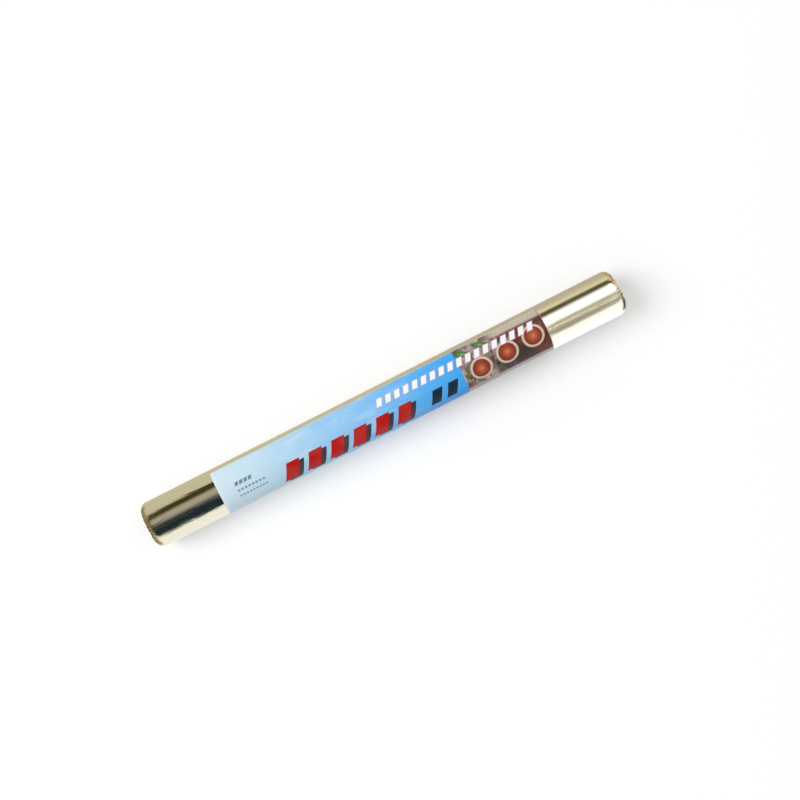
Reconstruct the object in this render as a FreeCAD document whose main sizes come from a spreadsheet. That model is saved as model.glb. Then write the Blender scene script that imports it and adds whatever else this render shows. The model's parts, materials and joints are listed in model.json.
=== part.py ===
"""Household aluminium foil on a cardboard core, with pressed-in ends and a paper label round the middle.

Millimetres. The roll lies along X, +Z is up, and the origin is on the floor under the middle of the roll.
"""

import FreeCAD, Part

import math
import os

import Sketcher

FULL_TURN = 360.0

# Numbers by which a sketch names its own origin, and the start, end and centre of a line or arc
SKETCH_ORIGIN = -1
START, END, CENTRE = range(1, 4)

# How far two places may differ and still count as one, in millimetres
SAME_PLACE = 0.001

# Driving dimensions: name, value in millimetres or degrees, and what it is
DIMENSIONS = (
    ("roll_length", 286.0, "from one pressed-in end to the other"),
    ("roll_diameter", 26.0, "over the wound foil, without the label"),
    ("foil_wall", 2.0, "thickness of all the turns of foil together"),
    ("flat_depth", 0.15, "how far the soft roll is flattened where it lies"),
    ("slope_length", 3.4, "length of the pressed-in end along the roll"),
    ("throat_diameter", 17.2, "round mouth that the pressed-in foil leaves"),
    ("lip_length", 1.4, "length of the throat's wall, with its bevelled mouth"),
    ("lip_face", 0.5, "ring of foil that faces outwards between the slope and the throat"),
    ("rim_round", 1.6, "rounding where the slope leaves the roll"),
    ("lip_bevel", 0.35, "bevel at the mouth of the throat"),
    ("gather_count", 30.0, "folds pressed into each end"),
    ("gather_depth", 0.8, "depth of a fold at the foot of the slope, across the roll"),
    ("gather_width", 1.5, "width of a fold at the foot of the slope"),
    ("gather_start_width", 0.6, "width over the rim of the line that a fold follows"),
    ("gather_lift", 0.15, "height over the rim of the line that a fold follows"),
    ("gather_lean", 0.9, "how far a fold leans sideways between the foot and the rim"),
    ("gather_run_out", 0.2, "how far a fold runs on past the foot of the slope"),
    ("core_wall", 1.3, "thickness of the cardboard"),
    ("core_inset", 3.8, "how far the core stops short of the roll's end"),
    ("core_play", 0.03, "gap between the core and the first turn of foil"),
    ("label_length", 197.0, "length of the label along the roll"),
    ("label_margin", 42.5, "bare foil between the roll's left end and the label"),
    ("label_thickness", 0.12, "thickness of the paper"),
    ("label_play", 0.05, "gap between the foil and the label that is laid round it"),
    ("label_edge", 55.0, "angle from the top of the roll back to the label's upper edge"),
    ("label_wrap", 270.0, "how far the label goes round the roll"),
)

# Lengths that several pieces share, as expressions of the driving dimensions
HALF_LENGTH = "dimensions.roll_length / 2"
ROLL_RADIUS = "dimensions.roll_diameter / 2"
THROAT_RADIUS = "dimensions.throat_diameter / 2"
SLOPE_FOOT = f"({THROAT_RADIUS} + dimensions.lip_face)"
BORE_RADIUS = "(dimensions.roll_diameter / 2 - dimensions.foil_wall)"
CORE_RADIUS = f"({BORE_RADIUS} - dimensions.core_play)"
CORE_END = f"({HALF_LENGTH} - dimensions.core_inset)"
FOIL_FLAT = f"({ROLL_RADIUS} - dimensions.flat_depth)"
LABEL_INNER_RADIUS = f"({ROLL_RADIUS} + dimensions.label_play)"
LABEL_INNER_FLAT = f"({FOIL_FLAT} + dimensions.label_play)"
LABEL_RADIUS = f"({LABEL_INNER_RADIUS} + dimensions.label_thickness)"
LABEL_FLAT = f"({LABEL_INNER_FLAT} + dimensions.label_thickness)"


def make_sheet(document):
    """Writes the driving dimensions into a spreadsheet, one row each, with an alias."""
    sheet = document.addObject("Spreadsheet::Sheet", "dimensions")
    for row, (alias, value, meaning) in enumerate(DIMENSIONS, start=1):
        sheet.set(f"A{row}", alias)
        sheet.set(f"B{row}", str(value))
        sheet.set(f"C{row}", meaning)
        sheet.setAlias(f"B{row}", alias)
    document.recompute()
    return sheet


def value_of(document, expression):
    """Works out an expression of the driving dimensions as a plain number."""
    return float(document.getObject("dimensions").evalExpression(expression))


def new_body(document, label):
    """Makes an empty body for one piece, with the roll's axis at its own height above the floor."""
    body = document.addObject("PartDesign::Body", label)
    body.Label = label
    body.setExpression(".Placement.Base.z", LABEL_FLAT)
    return body


def origin_item(body, role):
    """Returns a body's own base plane or axis, such as XZ_Plane or X_Axis."""
    for item in body.Origin.OriginFeatures:
        if item.Role == role:
            return item
    raise ValueError(f"{body.Label} has no {role}")


def new_sketch(body, name, plane_role):
    """Makes a sketch on one of a body's own base planes."""
    sketch = body.newObject("Sketcher::SketchObject", name)
    sketch.AttachmentSupport = (origin_item(body, plane_role), "")
    sketch.MapMode = "FlatFace"
    return sketch


def tie(sketch, expression, kind, *where):
    """Adds a dimension to a sketch and binds it to an expression."""
    value = value_of(sketch.Document, expression)
    if kind == "Angle":
        value = math.radians(value)
    number = sketch.addConstraint(Sketcher.Constraint(kind, *where, value))
    sketch.setExpression(f"Constraints[{number}]", expression)


def join_ends(sketch, edges):
    """Joins the end of each edge to the start of the next, and the last to the first."""
    for edge, following in zip(edges, edges[1:] + edges[:1]):
        sketch.addConstraint(Sketcher.Constraint("Coincident", edge, END, following, START))


def add_outline(sketch, corners):
    """Draws a closed outline of straight lines. A corner is two expressions: its place across and up."""
    places = [
        FreeCAD.Vector(value_of(sketch.Document, across), value_of(sketch.Document, up), 0)
        for across, up in corners
    ]
    lines = [
        sketch.addGeometry(Part.LineSegment(start, end))
        for start, end in zip(places, places[1:] + places[:1])
    ]
    join_ends(sketch, lines)
    for line, (across, up) in zip(lines, corners):
        tie(sketch, across, "DistanceX", SKETCH_ORIGIN, START, line, START)
        tie(sketch, up, "DistanceY", SKETCH_ORIGIN, START, line, START)
    return lines


def circles_at(shape, radius, distance):
    """Names a shape's full circles of a radius that lie a distance to each side of the roll's middle."""
    names = []
    for number, edge in enumerate(shape.Edges, start=1):
        if edge.Curve.TypeId != "Part::GeomCircle":
            continue
        centre = edge.Curve.Center
        if abs(edge.Curve.Radius - radius) < SAME_PLACE and abs(abs(centre.x) - distance) < SAME_PLACE:
            names.append(f"Edge{number}")
    return names


def finish_circles(body, base, name, kind, circle, size):
    """Rounds or bevels two like circles, one at each end of the roll.

    kind is Fillet or Chamfer, circle gives the circles' radius and their distance from the middle,
    and size is the rounding or the bevel.
    """
    document = body.Document
    document.recompute()
    edges = circles_at(base.Shape, *(value_of(document, expression) for expression in circle))
    if not edges:
        raise ValueError(f"{name} finds no circle to finish")
    finish = body.newObject(f"PartDesign::{kind}", name)
    finish.Base = (base, edges)
    finish.setExpression("Radius" if kind == "Fillet" else "Size", size)
    return finish


def wind_foil(body):
    """Turns the section of the wound foil, with both pressed-in ends, about the roll's axis.

    The section stands half a fold to the side of the first fold, so that no fold meets the seam
    of the turned faces.
    """
    section = new_sketch(body, "foil_section", "XZ_Plane")
    half_fold = f"{FULL_TURN / 2} / dimensions.gather_count"
    rolled_back = FreeCAD.Rotation(FreeCAD.Vector(1, 0, 0), value_of(body.Document, half_fold))
    section.AttachmentOffset = FreeCAD.Placement(FreeCAD.Vector(), rolled_back)
    section.setExpression(".AttachmentOffset.Rotation.Angle", half_fold)
    slope_start = f"({HALF_LENGTH} - dimensions.slope_length)"
    lip_end = f"({HALF_LENGTH} - dimensions.lip_length)"
    right_side = [
        (CORE_END, BORE_RADIUS),
        (lip_end, THROAT_RADIUS),
        (HALF_LENGTH, THROAT_RADIUS),
        (HALF_LENGTH, SLOPE_FOOT),
        (slope_start, ROLL_RADIUS),
    ]
    left_side = [(f"-({across})", up) for across, up in reversed(right_side)]
    add_outline(section, right_side + left_side)
    turns = body.newObject("PartDesign::Revolution", "foil_turns")
    turns.Profile = section
    turns.ReferenceAxis = (origin_item(body, "X_Axis"), [""])
    turns.Angle = FULL_TURN
    rim = (ROLL_RADIUS, slope_start)
    mouth = (THROAT_RADIUS, HALF_LENGTH)
    rims = finish_circles(body, turns, "rims", "Fillet", rim, "dimensions.rim_round")
    return finish_circles(body, rims, "mouths", "Chamfer", mouth, "dimensions.lip_bevel")


def fold_section(body, name, distance, corners):
    """Draws one end of a fold: three corners across the roll, at a distance along it from the middle."""
    sketch = new_sketch(body, name, "YZ_Plane")
    sketch.setExpression(".AttachmentOffset.Base.z", distance)
    add_outline(sketch, corners)
    return sketch


def cut_gather(body, name, side):
    """Cuts one fold into an end slope. side is 1 for the right end and -1 for the left one.

    The fold is a V that starts over the rim, leans sideways and deepens to the slope's foot.
    """
    over_rim = f"({ROLL_RADIUS} + dimensions.gather_depth)"
    fall = f"({ROLL_RADIUS} - {SLOPE_FOOT}) / dimensions.slope_length"
    past_foot = f"({SLOPE_FOOT} - dimensions.gather_run_out * {fall})"
    over_foot = f"({past_foot} + dimensions.gather_depth)"
    middle = "dimensions.gather_lean"
    half_start = "dimensions.gather_start_width / 2"
    narrow = [
        (f"{middle} - {half_start}", over_rim),
        (f"{middle} + {half_start}", over_rim),
        (middle, f"{ROLL_RADIUS} + dimensions.gather_lift"),
    ]
    wide = [
        ("-dimensions.gather_width", over_foot),
        ("dimensions.gather_width", over_foot),
        ("0", f"{past_foot} - dimensions.gather_depth"),
    ]
    start = f"{side} * ({HALF_LENGTH} - dimensions.slope_length)"
    end = f"{side} * ({HALF_LENGTH} + dimensions.gather_run_out)"
    gather = body.newObject("PartDesign::SubtractiveLoft", name)
    gather.Profile = fold_section(body, f"{name}_start", start, narrow)
    gather.Sections = [fold_section(body, f"{name}_end", end, wide)]
    gather.Ruled = True
    return gather


def gather_ends(body):
    """Repeats the fold of each end round the roll."""
    document = body.Document
    gathers = [cut_gather(body, "right_gather", 1), cut_gather(body, "left_gather", -1)]
    document.recompute()
    pattern = body.newObject("PartDesign::PolarPattern", "gathers")
    pattern.Originals = gathers
    pattern.Axis = (origin_item(body, "X_Axis"), [""])
    pattern.Angle = FULL_TURN
    pattern.setExpression("Occurrences", "dimensions.gather_count")
    body.Tip = pattern
    document.recompute()
    return pattern


def flatten_underside(body):
    """Takes off the thin strip by which the soft roll is flattened where it lies."""
    below = "dimensions.roll_diameter"
    corners = [
        (f"-{ROLL_RADIUS}", f"-{below}"),
        (ROLL_RADIUS, f"-{below}"),
        (ROLL_RADIUS, f"-{FOIL_FLAT}"),
        (f"-{ROLL_RADIUS}", f"-{FOIL_FLAT}"),
    ]
    sketch = new_sketch(body, "underside_strip", "YZ_Plane")
    add_outline(sketch, corners)
    strip = body.newObject("PartDesign::Pocket", "underside")
    strip.Profile = sketch
    strip.Type = "ThroughAll"
    strip.SideType = "Symmetric"
    return strip


def make_foil_roll(document):
    """The wound foil: one solid with a round throat, a sloping gathered end and a flat spot underneath."""
    body = new_body(document, "foil_roll")
    wound = wind_foil(body)
    gathered = gather_ends(body)
    flattened = flatten_underside(body)
    document.recompute()
    volumes = [step.Shape.Volume for step in (wound, gathered, flattened)]
    if not volumes[0] > volumes[1] > volumes[2]:
        raise ValueError(f"the gathers or the flat spot cut nothing: {volumes}")
    return body


def make_core_tube(document):
    """The cardboard tube that the foil is wound on. It ends where the pressed-in foil begins."""
    body = new_body(document, "core_tube")
    section = new_sketch(body, "core_section", "YZ_Plane")
    normal = FreeCAD.Vector(0, 0, 1)
    for radius in (CORE_RADIUS, f"({CORE_RADIUS} - dimensions.core_wall)"):
        circle = section.addGeometry(Part.Circle(FreeCAD.Vector(), normal, value_of(document, radius)))
        section.addConstraint(Sketcher.Constraint("Coincident", circle, CENTRE, SKETCH_ORIGIN, START))
        tie(section, radius, "Radius", circle)
    tube = body.newObject("PartDesign::Pad", "core_wall_pad")
    tube.Profile = section
    tube.SideType = "Symmetric"
    tube.setExpression("Length", f"2 * {CORE_END}")
    return body


def add_arc(sketch, radius, start, end):
    """Draws an arc about the roll's axis from one angle to another, both in degrees."""
    circle = Part.Circle(FreeCAD.Vector(), FreeCAD.Vector(0, 0, 1), value_of(sketch.Document, radius))
    arc = sketch.addGeometry(Part.ArcOfCircle(circle, math.radians(start), math.radians(end)))
    sketch.addConstraint(Sketcher.Constraint("Coincident", arc, CENTRE, SKETCH_ORIGIN, START))
    tie(sketch, radius, "Radius", arc)
    return arc


def add_line(sketch, start, end):
    """Draws a straight line between the ends of two arcs."""
    return sketch.addGeometry(Part.LineSegment(start, end))


def make_label(document):
    """The paper label: it follows the roll's round and its flat spot, and leaves a strip of foil bare."""
    body = new_body(document, "label")
    body.setExpression(".Placement.Base.x", f"dimensions.label_margin - {HALF_LENGTH}")
    sketch = new_sketch(body, "label_section", "YZ_Plane")
    upper = "(90 - dimensions.label_edge)"
    lower = f"({upper} + dimensions.label_wrap)"
    first = value_of(document, upper)
    last = value_of(document, lower)
    down = 0.75 * FULL_TURN

    arcs = {}
    sides = (("outer", LABEL_RADIUS, LABEL_FLAT), ("inner", LABEL_INNER_RADIUS, LABEL_INNER_FLAT))
    for name, radius, flat in sides:
        half_flat = math.degrees(math.acos(value_of(document, f"{flat} / {radius}")))
        arcs[name] = (
            add_arc(sketch, radius, first, down - half_flat),
            add_arc(sketch, radius, down + half_flat, last),
        )
        before, after = (sketch.Geometry[arc] for arc in arcs[name])
        level = add_line(sketch, before.EndPoint, after.StartPoint)
        sketch.addConstraint(Sketcher.Constraint("Coincident", level, START, arcs[name][0], END))
        sketch.addConstraint(Sketcher.Constraint("Coincident", level, END, arcs[name][1], START))
        sketch.addConstraint(Sketcher.Constraint("Horizontal", level))
        tie(sketch, f"-{flat}", "DistanceY", SKETCH_ORIGIN, START, level, START)

    for which, end, angle in ((0, START, upper), (1, END, lower)):
        inner, outer = arcs["inner"][which], arcs["outer"][which]
        edge = add_line(sketch, sketch.getPoint(inner, end), sketch.getPoint(outer, end))
        sketch.addConstraint(Sketcher.Constraint("Coincident", edge, START, inner, end))
        sketch.addConstraint(Sketcher.Constraint("Coincident", edge, END, outer, end))
        sketch.addConstraint(Sketcher.Constraint("PointOnObject", SKETCH_ORIGIN, START, edge))
        tie(sketch, angle, "Angle", edge)

    sheet_of_paper = body.newObject("PartDesign::Pad", "label_paper")
    sheet_of_paper.Profile = sketch
    sheet_of_paper.setExpression("Length", "dimensions.label_length")
    return body


def check(document, pieces):
    """Stops if any step of the model failed, or if a piece isn't one sound solid."""
    for item in document.Objects:
        if "Invalid" in item.State or "Error" in item.State:
            raise ValueError(f"{item.Label} failed: {item.State}")
    for piece in pieces:
        if piece.Shape.isNull() or not piece.Shape.isValid() or len(piece.Shape.Solids) != 1:
            raise ValueError(f"{piece.Label} isn't one sound solid")


def main():
    document = FreeCAD.newDocument("foil_roll_on_core")
    make_sheet(document)
    pieces = [make_foil_roll(document), make_core_tube(document), make_label(document)]
    document.recompute()
    check(document, pieces)
    os.makedirs("parts", exist_ok=True)
    for piece in pieces:
        piece.Shape.exportStep(os.path.join("parts", f"{piece.Label}.step"))
        print(piece.Label, round(piece.Shape.Volume, 1), piece.Shape.BoundBox)


main()
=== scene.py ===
"""A slim roll of household aluminium foil: the looks of its foil, its printed label and its core tube."""

import json
import math
import random
from collections import namedtuple

import bmesh
import bpy
from bpy.props import FloatProperty, FloatVectorProperty, IntProperty, PointerProperty
from mathutils import Matrix, Vector, noise


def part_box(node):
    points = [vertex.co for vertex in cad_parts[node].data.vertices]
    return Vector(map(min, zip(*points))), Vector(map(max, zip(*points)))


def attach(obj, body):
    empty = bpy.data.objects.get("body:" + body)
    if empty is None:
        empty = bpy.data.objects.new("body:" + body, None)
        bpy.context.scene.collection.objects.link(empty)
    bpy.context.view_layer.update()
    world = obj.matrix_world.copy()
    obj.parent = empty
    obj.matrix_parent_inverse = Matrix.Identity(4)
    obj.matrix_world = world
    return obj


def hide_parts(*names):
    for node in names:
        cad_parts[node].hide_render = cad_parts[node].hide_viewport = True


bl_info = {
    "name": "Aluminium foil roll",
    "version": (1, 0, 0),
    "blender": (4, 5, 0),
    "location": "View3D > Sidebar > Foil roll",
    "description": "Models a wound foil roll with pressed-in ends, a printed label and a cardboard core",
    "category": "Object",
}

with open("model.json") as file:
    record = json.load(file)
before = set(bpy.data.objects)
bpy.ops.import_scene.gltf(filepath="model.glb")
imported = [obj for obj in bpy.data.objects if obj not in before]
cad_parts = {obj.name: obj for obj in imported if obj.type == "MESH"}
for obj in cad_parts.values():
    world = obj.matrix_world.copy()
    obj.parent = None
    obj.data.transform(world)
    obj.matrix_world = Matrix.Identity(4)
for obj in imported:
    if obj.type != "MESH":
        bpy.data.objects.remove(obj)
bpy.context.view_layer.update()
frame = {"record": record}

MM = 0.001
FULL_TURN = 2 * math.pi
FOIL_LOW, FOIL_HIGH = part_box("foil_roll")
LABEL_LOW, LABEL_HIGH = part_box("label")
CORE_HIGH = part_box("core_tube")[1]
ROLL_RADIUS = (FOIL_HIGH.y - FOIL_LOW.y) / 2
AXIS_HEIGHT = FOIL_HIGH.z - ROLL_RADIUS
HALF_LENGTH = FOIL_HIGH.x
CORE_RADIUS = CORE_HIGH.y
CORE_END = CORE_HIGH.x
LABEL_RADIUS = LABEL_HIGH.z - AXIS_HEIGHT
THROAT = next(mount for mount in frame["record"]["mounts"] if mount["name"] == "throat")
THROAT_RADIUS = THROAT["dims"]["r_mm"] * MM

# The label's upper long edge, in degrees from straight up towards +Y, and how far the sheet goes round
LABEL_START_ANGLE = 55
LABEL_WRAP = 270

# The print is laid out in units of 0.1 m: along the label from its left end, across it from its upper edge
PRINT_UNIT = 0.1
PANEL_START = 1.451
PRINT_SLANT = 0.42
BLOCK_ROW = ("Start", "End", "Top", "Bottom", "Pitch", "Duty", "Slant")
OVAL_ROW = ("Start", "Level", "Pitch", "Climb", "Half length", "Half width", "Turn")


def size_property(name, description, millimetres):
    """A length that a user can change, in metres, shown in the scene's unit."""
    return FloatProperty(
        name=name, description=description, default=millimetres * MM, unit="LENGTH", precision=5
    )


def colour_property(name, description, red, green, blue):
    """A colour that a user can change, given in 0 to 255 as it looks on a screen."""
    return FloatVectorProperty(
        name=name, description=description, default=screen_colour(red, green, blue)[:3],
        subtype="COLOR", size=3, min=0, max=1,
    )


def screen_colour(red, green, blue):
    """The linear colour with full alpha of a screen colour given in 0 to 255."""
    def linear(value):
        share = value / 255
        return share / 12.92 if share <= 0.04045 else ((share + 0.055) / 1.055) ** 2.4
    return (linear(red), linear(green), linear(blue), 1.0)


def smooth_step(low, high, value):
    """0 below low, 1 above high and an even S between them."""
    share = min(max((value - low) / (high - low), 0.0), 1.0)
    return share * share * (3 - 2 * share)


class FoilSettings(bpy.types.PropertyGroup):
    slope_length: size_property("Slope length", "How far each pressed-in end slopes along the roll", 3.4)
    lip_face: size_property("Lip face", "Width of the flat ring round the throat", 0.5)
    lip_length: size_property("Lip length", "How far the throat runs in before it widens", 1.4)
    lip_bevel: size_property("Lip bevel", "Bevel of the throat's mouth", 0.35)
    rim_round: size_property("Rim round", "Radius between the roll's side and its slope", 1.6)
    core_play: size_property("Core play", "Clearance between the core tube and the turns", 0.03)
    gather_depth: size_property("Gather depth", "Depth of the folds at the throat", 0.7)
    slope_bulge: size_property("Slope bulge", "How far the pressed-in slope swells outwards", 0.5)
    edge_step: size_property("Edge step", "Height of the foil's free edge", 0.045)
    waviness: size_property("Waviness", "How far the turns swell and dip along the roll", 0.035)
    gather_count: IntProperty(name="Gathers", description="Folds round each end", default=31, min=3)
    steps: IntProperty(name="Steps round", description="Faces round the roll", default=360, min=24)
    tint: colour_property("Foil tint", "Colour of the bare foil", 246, 243, 233)


class LabelSettings(bpy.types.PropertyGroup):
    thickness: size_property("Paper thickness", "Thickness of the label's paper", 0.12)
    edge_lift: size_property("Edge lift", "How far the label's long edges stand off the foil", 0.22)
    buckle: size_property("Buckle", "How far the paper swells off the foil", 0.03)
    steps: IntProperty(name="Steps round", description="Faces round the label", default=180, min=24)
    pale: colour_property("Pale end", "Field colour at the left end", 210, 230, 240)
    deep: colour_property("Deep end", "Field colour before the patterned panel", 40, 164, 246)
    ribbon: colour_property("Block red", "Colour of the bold blocks", 188, 16, 6)
    shadow: colour_property("Block shadow", "Colour behind the bold blocks", 60, 14, 18)
    ink: colour_property("Dark ink", "Colour of the short dark blocks", 4, 16, 30)


class CoreSettings(bpy.types.PropertyGroup):
    wall: size_property("Core wall", "Wall of the cardboard tube", 1.3)
    seam_pitch: size_property("Seam pitch", "How far the spiral seam runs in one turn", 48)
    board: colour_property("Board", "Colour of the cardboard", 158, 126, 88)


class StudioSettings(bpy.types.PropertyGroup):
    card_radius: size_property("Card distance", "Distance of the reflected cards from the roll", 500)
    key_power: FloatProperty(
        name="Key power", description="Power of the soft key lamp", default=58.5, unit="POWER"
    )
    fill: FloatProperty(name="Fill", description="Strength of the world's even light", default=0.62, min=0)
    floor_lift: FloatProperty(
        name="Floor lift", description="White that the floor adds near the roll", default=0.255, min=0
    )


def give(tree, socket, value):
    """Links a socket where the value is another socket, and otherwise writes the value on it."""
    if isinstance(value, bpy.types.NodeSocket):
        tree.links.new(value, socket)
    else:
        socket.default_value = value


def add_node(tree, kind, settings=None, inputs=None):
    """Adds a shader node, sets its own settings and then its input sockets, by number or by name."""
    node = tree.nodes.new(kind)
    for key, value in (settings or {}).items():
        setattr(node, key, value)
    for key, value in (inputs or {}).items():
        give(tree, node.inputs[key], value)
    return node


def maths(tree, operation, first, second=0.0):
    """One Math node's output."""
    return add_node(tree, "ShaderNodeMath", {"operation": operation}, {0: first, 1: second}).outputs[0]


def plus(tree, first, second):
    """The sum of two values."""
    return maths(tree, "ADD", first, second)


def minus(tree, first, second):
    """The first value less the second."""
    return maths(tree, "SUBTRACT", first, second)


def times(tree, first, *others):
    """The product of two or more values."""
    product = first
    for value in others:
        product = maths(tree, "MULTIPLY", product, value)
    return product


def ease(tree, value, low, high, start=0.0, end=1.0):
    """A smooth ramp of a value between two limits."""
    inputs = {"Value": value, "From Min": low, "From Max": high, "To Min": start, "To Max": end}
    node = add_node(tree, "ShaderNodeMapRange", {"interpolation_type": "SMOOTHSTEP"}, inputs)
    return node.outputs["Result"]


def blend_colour(tree, share, first, second):
    """One Mix node's colour, from first to second."""
    node = add_node(tree, "ShaderNodeMix", {"data_type": "RGBA"})
    for name, value in (("Factor_Float", share), ("A_Color", first), ("B_Color", second)):
        give(tree, next(item for item in node.inputs if item.identifier == name), value)
    return next(item for item in node.outputs if item.identifier == "Result_Color")


def colour_ramp(tree, value, stops):
    """The colour of a ramp whose stops are pairs of a place and a linear colour."""
    node = add_node(tree, "ShaderNodeValToRGB", None, {"Fac": value})
    elements = node.color_ramp.elements
    while len(elements) < len(stops):
        elements.new(1.0)
    for element, (place, colour) in zip(elements, stops):
        element.position = place
        element.color = colour
    return node.outputs["Color"]


def screen_stops(*rows):
    """Stops for a ramp from rows of a place and a screen colour's red, green and blue."""
    return [(place, screen_colour(*colour)) for place, *colour in rows]


def stretched_noise(tree, vector, stretch, detail, turn=0.0):
    """Noise on coordinates that are scaled by three factors and turned about Z."""
    inputs = {"Vector": vector, "Scale": stretch, "Rotation": (0, 0, turn)}
    stretched = add_node(tree, "ShaderNodeMapping", None, inputs).outputs[0]
    inputs = {"Vector": stretched, "Scale": 1.0, "Detail": detail}
    return add_node(tree, "ShaderNodeTexNoise", None, inputs).outputs["Fac"]


def object_place(tree):
    """A point's place in its object, as one vector and as its three parts."""
    place = add_node(tree, "ShaderNodeTexCoord").outputs["Object"]
    return place, add_node(tree, "ShaderNodeSeparateXYZ", None, {0: place}).outputs


def turn_about_axis(tree, parts):
    """A point's angle about the roll's axis, from straight up towards +Y, in radians."""
    return maths(tree, "ARCTAN2", parts[1], minus(tree, parts[2], AXIS_HEIGHT))


def new_group(name, inputs, outputs):
    """A shader node group whose sockets are numbers, apart from an input that is named Vector."""
    tree = bpy.data.node_groups.new(name, "ShaderNodeTree")
    for label in inputs:
        kind = "NodeSocketVector" if label == "Vector" else "NodeSocketFloat"
        tree.interface.new_socket(label, in_out="INPUT", socket_type=kind)
    for label in outputs:
        tree.interface.new_socket(label, in_out="OUTPUT", socket_type="NodeSocketFloat")
    return tree, tree.nodes.new("NodeGroupInput").outputs, tree.nodes.new("NodeGroupOutput").inputs


def use_group(tree, group, inputs):
    """Places a node group in a tree and returns its outputs."""
    return add_node(tree, "ShaderNodeGroup", {"node_tree": group}, inputs).outputs


def print_row(tree, group, along, across, names, values):
    """Places one row of printed motifs, with its values in the order of their names."""
    return use_group(tree, group, {"Along": along, "Across": across, **dict(zip(names, values))})


def fine_wear_group():
    """Hairline marks and soft smudges from handling, used on the foil, the label and the core."""
    tree, given, result = new_group("fine_wear", ["Vector", "Grain"], ["Hairlines", "Smudge"])
    scaled = add_node(
        tree, "ShaderNodeVectorMath", {"operation": "SCALE"}, {0: given["Vector"], "Scale": given["Grain"]}
    ).outputs[0]
    hair = stretched_noise(tree, scaled, (0.02, 1.0, 1.0), 3.0)
    tree.links.new(ease(tree, hair, 0.56, 0.72), result["Hairlines"])
    smudge = stretched_noise(tree, scaled, (0.05, 0.07, 0.07), 2.0)
    tree.links.new(ease(tree, smudge, 0.42, 0.7), result["Smudge"])


def block_row_group():
    """A row of slanted blocks: 1 inside a block and 0 between the blocks and past the row."""
    tree, given, result = new_group("block_row", ["Along", "Across", *BLOCK_ROW], ["Mask"])
    soft_edge = 0.0012
    leant = plus(tree, given["Along"], times(tree, given["Across"], given["Slant"]))
    phase = maths(tree, "MODULO", minus(tree, leant, given["Start"]), given["Pitch"])
    block_end = times(tree, given["Pitch"], given["Duty"])
    depths = (
        phase,
        minus(tree, block_end, phase),
        minus(tree, leant, given["Start"]),
        minus(tree, given["End"], leant),
        minus(tree, given["Across"], given["Top"]),
        minus(tree, given["Bottom"], given["Across"]),
    )
    whole = times(tree, *[ease(tree, depth, 0.0, soft_edge) for depth in depths])
    tree.links.new(whole, result["Mask"])


def leaf_row_group():
    """A climbing row of ovals: how far each point is from its oval's middle, 1 on the rim, and its mask."""
    tree, given, result = new_group("leaf_row", ["Along", "Across", *OVAL_ROW], ["Mask", "Distance"])
    along = minus(tree, given["Along"], given["Start"])
    place = maths(tree, "FLOOR", maths(tree, "DIVIDE", along, given["Pitch"]))
    half = times(tree, given["Pitch"], 0.5)
    aside = minus(tree, along, times(tree, place, given["Pitch"]))
    aside = minus(tree, aside, half)
    below = minus(tree, given["Across"], given["Level"])
    below = plus(tree, below, times(tree, place, given["Climb"]))
    cosine = maths(tree, "COSINE", given["Turn"])
    sine = maths(tree, "SINE", given["Turn"])
    long = plus(tree, times(tree, aside, cosine), times(tree, below, sine))
    wide = minus(tree, times(tree, below, cosine), times(tree, aside, sine))
    long = maths(tree, "DIVIDE", long, given["Half length"])
    wide = maths(tree, "DIVIDE", wide, given["Half width"])
    distance = maths(tree, "SQRT", plus(tree, times(tree, long, long), times(tree, wide, wide)))
    tree.links.new(distance, result["Distance"])
    tree.links.new(ease(tree, distance, 0.94, 1.03, 1.0, 0.0), result["Mask"])


def new_material(name):
    """An empty node material, its tree and its Principled shader."""
    material = bpy.data.materials.new(name)
    material.use_nodes = True
    tree = material.node_tree
    return material, tree, tree.nodes["Principled BSDF"]


def feed(tree, shader, inputs):
    """Gives values or links to a shader's sockets, by name."""
    for name, value in inputs.items():
        give(tree, shader.inputs[name], value)


def bump(tree, height, distance, strength, normal=None):
    """The normal of one Bump node."""
    inputs = {"Height": height, "Distance": distance, "Strength": strength}
    if normal is not None:
        inputs["Normal"] = normal
    return add_node(tree, "ShaderNodeBump", None, inputs).outputs["Normal"]


def foil_material(tint, wear, slope_start):
    """Bright rolled foil: tension streaks, hairlines, small dents, smudges and crumpled, duller ends."""
    material, tree, shader = new_material("foil")
    place, parts = object_place(tree)
    end = ease(tree, maths(tree, "ABSOLUTE", parts[0]), slope_start - 1.5 * MM, slope_start + 1.2 * MM)
    streaks = stretched_noise(tree, place, (9, 1500, 1500), 3.0)
    swells = stretched_noise(tree, place, (14, 120, 120), 1.0)
    crumple = stretched_noise(tree, place, (900, 700, 700), 4.0)
    dents = stretched_noise(tree, place, (420, 900, 900), 2.0)
    handled = ease(tree, stretched_noise(tree, place, (45, 160, 160), 1.0), 0.5, 0.62)
    marks = use_group(tree, wear, {"Vector": place, "Grain": 2600.0})
    colour = blend_colour(tree, times(tree, streaks, 0.35), (*tint, 1), screen_colour(222, 214, 192))
    colour = blend_colour(tree, times(tree, end, 0.8), colour, screen_colour(228, 216, 186))
    rough = plus(tree, 0.08, times(tree, streaks, 0.08))
    rough = plus(tree, rough, times(tree, marks["Smudge"], 0.05))
    rough = plus(tree, rough, times(tree, end, 0.10))
    normal = bump(tree, swells, 0.05 * MM, 0.5)
    normal = bump(tree, times(tree, dents, handled), 0.1 * MM, 1.0, normal)
    normal = bump(tree, streaks, 0.004 * MM, 0.8, normal)
    normal = bump(tree, marks["Hairlines"], 0.002 * MM, 0.6, normal)
    normal = bump(tree, times(tree, crumple, end), 0.12 * MM, 0.7, normal)
    feed(tree, shader, {"Base Color": colour, "Metallic": 1.0, "Roughness": rough, "Normal": normal})
    return material


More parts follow.
